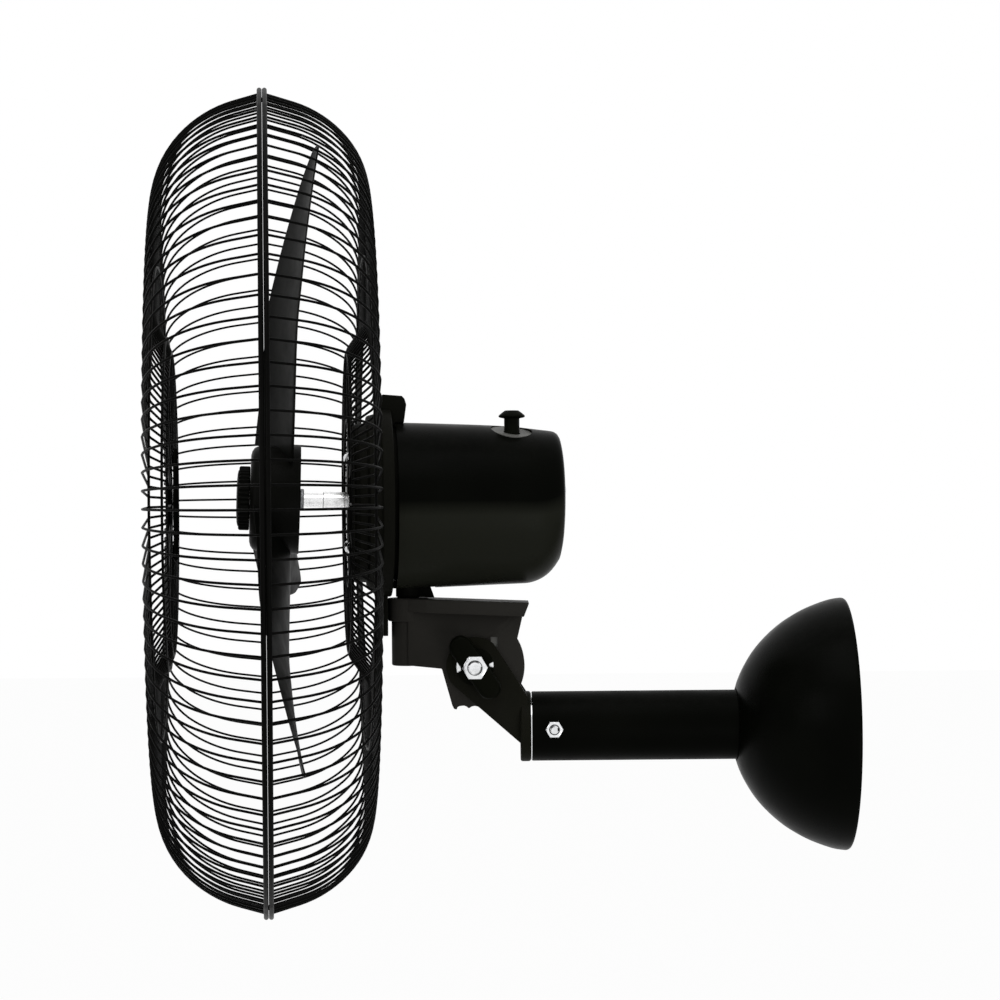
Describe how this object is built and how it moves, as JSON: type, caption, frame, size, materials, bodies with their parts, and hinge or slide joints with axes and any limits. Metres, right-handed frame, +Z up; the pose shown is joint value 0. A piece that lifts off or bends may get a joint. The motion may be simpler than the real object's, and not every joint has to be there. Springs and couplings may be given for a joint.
{
  "type": "wall mounted fan",
  "caption": "Wall mounted fan with a bell-shaped canopy and tube, a clamped tilt joint and an oscillating motor head that carries a three-bladed propeller in a wire guard.",
  "frame": {"origin": "centre of the wall plate's back face, on the wall", "axes": "+X out of the plate's back into the wall, -X into the room and the way the fan blows, +Z up"},
  "size_m": [0.5175, 0.5975, 0.5996],
  "materials": {
    "black_enamel": "satin black enamel on steel",
    "black_casting": "satin black paint on die-cast alloy",
    "black_housing": "gloss black enamel on drawn steel sheet",
    "black_wire": "black powder coat on drawn wire",
    "black_blade": "semi-gloss black moulding",
    "black_plastic": "satin black moulding",
    "zinc": "bright zinc plate",
    "bright_steel": "ground bright steel",
    "core_steel": "laminated core steel",
    "copper": "varnished copper coils",
    "bronze": "sintered bronze",
    "nylon": "natural nylon"
  },
  "bodies": {
    "wall_arm": {"wall_plate": "zinc", "canopy_bell": "black_housing", "support_tube": "black_enamel", "tube_bolt": "zinc", "tube_nut": "zinc", "tilt_yoke": "black_enamel", "tilt_bolt": "zinc", "tilt_washer": "zinc"},
    "tilt_lever": {"tilt_lever": "black_plastic", "tilt_nut": "zinc"},
    "tilt_bracket": {"pivot_bracket": "black_enamel", "thrust_washer": "nylon", "pivot_bolt": "zinc", "link_arm": "zinc", "pivot_locknut": "zinc"},
    "head": {"motor_shell": "black_housing", "shell_screw_far": "zinc", "shell_screw_near": "zinc", "motor_front_casting": "black_casting", "stator_core": "core_steel", "front_winding": "copper", "rear_winding": "copper", "front_end_shield": "black_casting", "rear_end_shield": "black_casting", "front_bearing": "bronze", "rear_bearing": "bronze", "run_capacitor": "black_plastic", "gearbox_case": "nylon", "front_guard": "black_wire", "rear_guard": "black_wire", "front_guard_ring": "black_wire", "rear_guard_ring": "black_wire", "badge_disc": "black_blade", "badge_retainer": "zinc", "guard_mount_ring": "black_casting", "guard_screw_1": "zinc", "guard_screw_2": "zinc", "guard_screw_3": "zinc", "guard_screw_4": "zinc", "rim_clip_1": "black_wire", "rim_clip_2": "black_wire", "rim_clip_3": "black_wire", "rim_clip_4": "black_wire"},
    "rotor": {"motor_shaft": "bright_steel", "rotor_core": "core_steel", "drive_worm": "bright_steel", "shaft_collar": "bright_steel", "propeller": "black_blade", "spinner_nut": "black_blade"},
    "worm_wheel": {"worm_wheel": "nylon"},
    "crank_gear": {"crank_gear": "nylon"},
    "link_rod": {"link_rod": "zinc"},
    "oscillation_knob": {"oscillation_knob": "black_plastic"}
  },
  "joints": [
    {"name": "tilt", "type": "hinge", "parent": "wall_arm", "child": "tilt_bracket", "pos_m": [-0.2708, 0, 0.0455], "axis": [0, 1, 0], "range_deg": [-25, 25]},
    {"name": "clamp_lever", "type": "hinge", "parent": "wall_arm", "child": "tilt_lever", "pos_m": [-0.2708, -0.03, 0.0455], "axis": [0, 1, 0], "range_deg": [-120, 60]},
    {"name": "oscillation", "type": "hinge", "parent": "tilt_bracket", "child": "head", "pos_m": [-0.3197, 0, 0.0955], "axis": [0, 0, 1], "range_deg": [-50.43, 39.57]},
    {"name": "propeller_spin", "type": "hinge", "parent": "head", "child": "rotor", "pos_m": [-0.3197, 0, 0.165], "axis": [0.9949, 0.0946, -0.0349], "continuous": true},
    {"name": "worm_wheel_spin", "type": "hinge", "parent": "head", "child": "worm_wheel", "pos_m": [-0.24265, -0.01277, 0.165], "axis": [0, 0, 1], "continuous": true},
    {"name": "crank_spin", "type": "hinge", "parent": "head", "child": "crank_gear", "pos_m": [-0.24736, 0.00688, 0.118], "axis": [0, 0, 1], "continuous": true},
    {"name": "link_pivot", "type": "hinge", "parent": "crank_gear", "child": "link_rod", "pos_m": [-0.24765, -0.00057, 0.115], "axis": [0, 0, 1], "continuous": true},
    {"name": "oscillation_knob_slide", "type": "slide", "parent": "head", "child": "oscillation_knob", "axis": [0, 0, 1], "range_m": [-0.006, 0]}
  ],
  "couplings": [
    {"joint": "worm_wheel_spin", "follows": "propeller_spin", "ratio": 0.066667},
    {"joint": "crank_spin", "follows": "propeller_spin", "ratio": -0.02},
    {"joint": "link_pivot", "follows": "propeller_spin", "ratio": 0.02}
  ]
}
